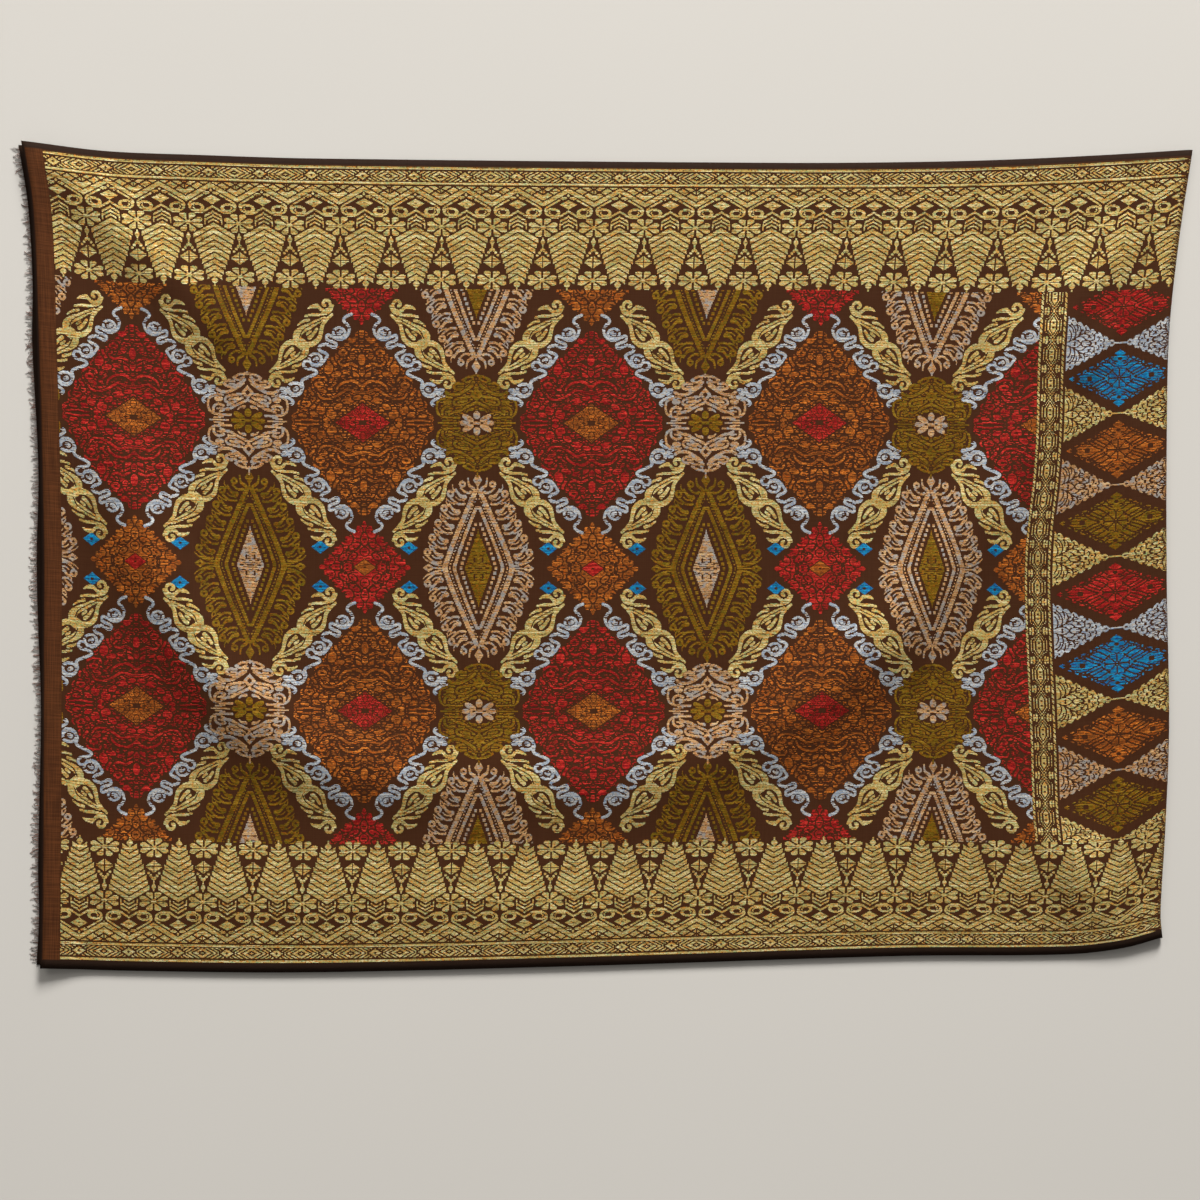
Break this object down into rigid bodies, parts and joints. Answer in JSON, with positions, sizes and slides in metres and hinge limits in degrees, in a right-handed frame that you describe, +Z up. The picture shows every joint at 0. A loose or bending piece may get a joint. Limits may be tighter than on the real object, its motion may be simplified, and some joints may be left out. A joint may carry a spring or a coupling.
{
  "type": "folded brocade waist wrap cloth",
  "caption": "Long brocade waist wrap folded double, lying face up, with gold leaf borders, a lattice of coloured medallions and a frayed end.",
  "frame": {"origin": "on the floor, under the middle of the whole cloth's box", "axes": "+X along the cloth's length from the open ends to the fold, +Y from the near selvedge to the far one, +Z up, out of the face"},
  "size_m": [1.2966, 0.9128, 0.0169],
  "materials": {
    "brocade": "dark brown plain weave with metallic gold, silver, red, rust and olive weft floats",
    "loose_weft": "matt brown loose thread ends"
  },
  "bodies": {
    "root": {"folded_cloth": "brocade", "frayed_end": "loose_weft"}
  },
  "joints": []
}
